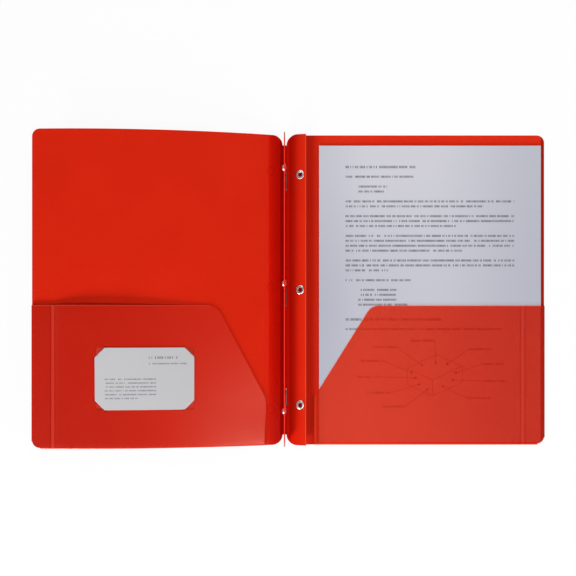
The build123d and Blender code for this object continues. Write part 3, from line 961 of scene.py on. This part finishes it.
def leader(finish, along, down, line):
    """A thin line with a dot at its end and a short label at its start."""
    stroke, past_end, aside = thin_line(along, down, line)
    dot = past_end * past_end + aside * aside < LEADER_DOT_R * LEADER_DOT_R
    start_x, start_y, end_x = line[:3]
    indent = start_x - LABEL_W if end_x > start_x else start_x
    block = (start_y - LABEL_LIFT, 1, LABEL_PITCH, indent, LABEL_W, LABEL_W, LABEL_STROKE)
    return stroke + dot + text_block(finish, along, down, block)


# Fibre in the surface of paper and card
FIBRE_SIZE = 1.4
FIBRE_DETAIL = 4.0
FIBRE_HEIGHT = 0.012
PAPER_ROUGHNESS = 0.7
FIBRE_ROUGHNESS = 0.15
PAPER_GLOSS = 0.3

# Painted shade on the sheet towards its left and right sides and its foot, as runs across and down it
LEFT_DIM = 0.24
LEFT_DIM_RUN = (0.0, 50.0)
RIGHT_DIM = 0.42
RIGHT_DIM_RUN = (90.0, 215.0)
FOOT_DIM = 0.38
FOOT_DIM_RUN = (-20.0, 170.0)
FOOT_DIM_LOSS = 0.2
FOOT_DIM_LOSS_RUN = (40.0, 215.0)
SHEET_INK_SHARE = 0.9
CARD_INK_SHARE = 0.85


def printed(finish, face, ink, marks):
    """Paper with its print, and a faint fibre in its surface."""
    fibre = finish.noise(FIBRE_SIZE, FIBRE_DETAIL)
    return finish.coat(Base_Color=finish.mix(marks, finish.mix(fibre, *face), ink),
                       Roughness=PAPER_ROUGHNESS + fibre * FIBRE_ROUGHNESS,
                       Normal=finish.bump(fibre * FIBRE_HEIGHT), Specular_IOR_Level=PAPER_GLOSS)


def insert_paper():
    """The sheet in the right pocket, with painted shade at its sides and towards its foot."""
    finish = Finish("insert_paper")
    from_left = finish.x - PAPER_LOW.x
    down = PAPER_HIGH.y - finish.y
    along = from_left - SHEET_MARGIN
    marks = 0.0
    for block in SHEET_BLOCKS:
        marks = marks + text_block(finish, along, down, block)
    for line in BOX_LINES:
        marks = marks + thin_line(along, down, line)[0]
    for line in LEADERS:
        marks = marks + leader(finish, along, down, line)
    # painted shade towards the sheet's sides and foot
    left = LEFT_DIM - LEFT_DIM * finish.rise(from_left, *LEFT_DIM_RUN)
    right = RIGHT_DIM * finish.rise(from_left, *RIGHT_DIM_RUN)
    fall = FOOT_DIM - FOOT_DIM_LOSS * finish.rise(from_left, *FOOT_DIM_LOSS_RUN)
    dim = left + right + fall * finish.rise(down, *FOOT_DIM_RUN)
    face = (finish.mix(dim, PAPER_SHADE, PAPER_IN_PAINTED_SHADE), finish.mix(dim, PAPER_WHITE, PAPER_IN_PAINTED_SHADE))
    return printed(finish, face, PAPER_INK, marks * SHEET_INK_SHARE)


def card_stock():
    """The card in the left pocket's slits."""
    finish = Finish("card_stock")
    marks = 0.0
    for block in CARD_BLOCKS:
        marks = marks + text_block(finish, finish.x - CARD_LOW.x, CARD_HIGH.y - finish.y, block)
    return printed(finish, (CARD_SHADE, CARD_WHITE), CARD_INK, marks * CARD_INK_SHARE)


# Wear of the plated steel
WEAR_SIZE = 1.1
WEAR_DETAIL = 4.0
WEAR_RANGE = (0.45, 0.8)
WEAR_ROUGHNESS = 0.14
WEAR_HEIGHT = 0.006
FITTING_ROUGHNESS = 0.3
PRONG_ROUGHNESS = 0.16


def plated_steel(name, bright, worn, roughness):
    """Bright plated steel that is dull and slightly uneven where it is worn."""
    finish = Finish(name)
    wear = finish.noise(WEAR_SIZE, WEAR_DETAIL)
    colour = finish.mix(finish.rise(wear, *WEAR_RANGE), bright, worn)
    return finish.coat(Base_Color=colour, Metallic=1.0, Roughness=roughness + wear * WEAR_ROUGHNESS,
                       Normal=finish.bump(wear * WEAR_HEIGHT))


# Each pocket's weld, as its place and the strengths of its pale line and of the painted shade in its pressed
# lines, and the left one's gloss
LEFT_WELD = (LEFT_WELD_X, 0.4, 0.5)
RIGHT_WELD = (RIGHT_WELD_X, 0.3, 0.9)
LEFT_POCKET_GLOSS = 0.62

# Where a pocket lets light through: over the card, and over the sheet with a little beside it
LEFT_WINDOW = (CARD_LOW, CARD_HIGH)
RIGHT_WINDOW = (Vector((PAPER_LOW.x - 2.5, BOTTOM_Y)), Vector((PAPER_HIGH.x + 0.5, TOP_Y)))


def dress(material, *names):
    """Give CAD nodes their material."""
    for name in names:
        slots = NODES[name].data.materials
        slots.clear()
        slots.append(material)


def dress_folder():
    """Finish every CAD node that shows, and make the pieces that stand for the others."""
    red = red_plastic()
    steel = plated_steel("plated_steel", PLATED_STEEL, WORN_STEEL, FITTING_ROUGHNESS)
    prong_steel = plated_steel("prong_steel", PRONG_STEEL, PRONG_STEEL_WORN, PRONG_ROUGHNESS)
    dress(red, "back_cover", "left_pocket_tab", "right_pocket_tab")
    dress(gutter_plastic(), "spine_panel")
    dress(leaf_plastic(), "prong_leaf")
    dress(flap_plastic(), "eyelet_flap", "flap_foot")
    right_plastic = pocket_plastic("right_pocket_plastic", RIGHT_POCKET_REDS, PLAIN_GLOSS, RIGHT_WELD,
                                   RIGHT_WINDOW)
    dress(right_plastic, "right_pocket")
    dress(insert_paper(), "insert_sheet")
    bowed_cover(bowed_plastic())
    left_plastic = pocket_plastic("left_pocket_plastic", LEFT_POCKET_REDS, LEFT_POCKET_GLOSS, LEFT_WELD,
                                  LEFT_WINDOW)
    left_pocket(left_plastic)
    tucked_card(card_stock())
    for name in FASTENERS:
        dress(prong_steel, f"prong_base_{name}", f"inner_tang_{name}", f"outer_tang_{name}")
        eyelet(name, steel)
        rivet(name, steel)


# Table top, in metres
FLOOR_SIDE = 6.0
FLOOR_DROP = 0.2 * MM
FLOOR_GLOW = 0.93
FLOOR_PALE = (0.85, 0.85, 0.85, 1.0)
FLOOR_ROUGHNESS = 0.9
WHITE = (1.0, 1.0, 1.0, 1.0)


def white_floor():
    """Pale table top that reads as white, keeps a soft shadow and is clear from below."""
    made = bmesh.new()
    bmesh.ops.create_grid(made, x_segments=1, y_segments=1, size=FLOOR_SIDE / 2)
    bmesh.ops.translate(made, vec=(0, 0, -FLOOR_DROP), verts=made.verts[:])
    mesh = bpy.data.meshes.new("table_top")
    made.to_mesh(mesh)
    made.free()
    floor = bpy.data.objects.new("table_top", mesh)
    SCENE.collection.objects.link(floor)
    finish = Finish("white_table")
    finish.coat(Base_Color=FLOOR_PALE, Roughness=FLOOR_ROUGHNESS)
    camera_ray = finish.node("LightPath", output="Is Camera Ray")
    glossy_ray = finish.output_beside(camera_ray, "Is Glossy Ray")
    clear_ray = finish.output_beside(camera_ray, "Is Transmission Ray")
    seen = finish.maths("MAXIMUM", finish.maths("MAXIMUM", camera_ray, glossy_ray), clear_ray)
    glow = finish.node("Emission", None, {"Color": WHITE, "Strength": 1.0})
    finish.mixed_with(seen * FLOOR_GLOW, glow)
    from_below = finish.node("NewGeometry", output="Backfacing")
    mesh.materials.append(finish.mixed_with(from_below, finish.node("BsdfTransparent")))


# The studio's walls are bright, and its ceiling above the camera is dark
WALL_LIGHT = 0.32
CEILING_LIGHT = 0.06
WALL_TOP = 0.62
CEILING_EDGE = 0.9

# Soft boxes: name, place, side and power
SOFT_BOXES = (
    ("overhead", (0.22, -0.42, 0.8), 0.2, 2.1),
    ("low_left", (-0.9, -1.45, 0.5), 0.4, 37.0),
    ("right", (2.2, -0.9, 1.4), 0.6, 22.0),
    ("behind", (0.2, 1.0, 0.9), 0.8, 5.8),
)


def soft_box(name, place, side, power):
    """Square lamp that faces the folder."""
    data = bpy.data.lights.new(name, "AREA")
    data.shape = "SQUARE"
    data.size = side
    data.energy = power
    light = bpy.data.objects.new(name, data)
    light.location = place
    light.rotation_euler = (-Vector(place)).to_track_quat("-Z", "Y").to_euler()
    SCENE.collection.objects.link(light)


def light_studio():
    """Soft light from the walls and from four soft boxes."""
    world = bpy.data.worlds.new("studio")
    world.use_nodes = True
    SCENE.world = world
    nodes = Nodes(world.node_tree)
    direction = nodes.node("TexCoord", output="Generated")
    up = nodes.node("SeparateXYZ", None, {0: direction}, "Z")
    level = WALL_LIGHT + (CEILING_LIGHT - WALL_LIGHT) * nodes.rise(up, WALL_TOP, CEILING_EDGE)
    background = world.node_tree.nodes["Background"]
    background.inputs["Color"].default_value = WHITE
    nodes.feed(background.inputs["Strength"], level)
    for lamp in SOFT_BOXES:
        soft_box(*lamp)


def look_down():
    """Camera straight above, a little nearer the folder's bottom edge, with its view shifted back."""
    data = bpy.data.cameras.new("camera")
    data.sensor_width = CAMERA_SENSOR_MM
    view_side = FRAME_SIDE / PIXELS_PER_MM * MM
    data.lens = CAMERA_SENSOR_MM * CAMERA_HEIGHT / view_side
    data.shift_y = CAMERA_FORWARD / view_side
    camera = bpy.data.objects.new("camera", data)
    camera.location = VIEW_CENTRE + Vector((0, -CAMERA_FORWARD, CAMERA_HEIGHT))
    SCENE.collection.objects.link(camera)
    SCENE.camera = camera


dress_folder()
white_floor()
light_studio()
look_down()
SCENE.view_settings.view_transform = "Standard"
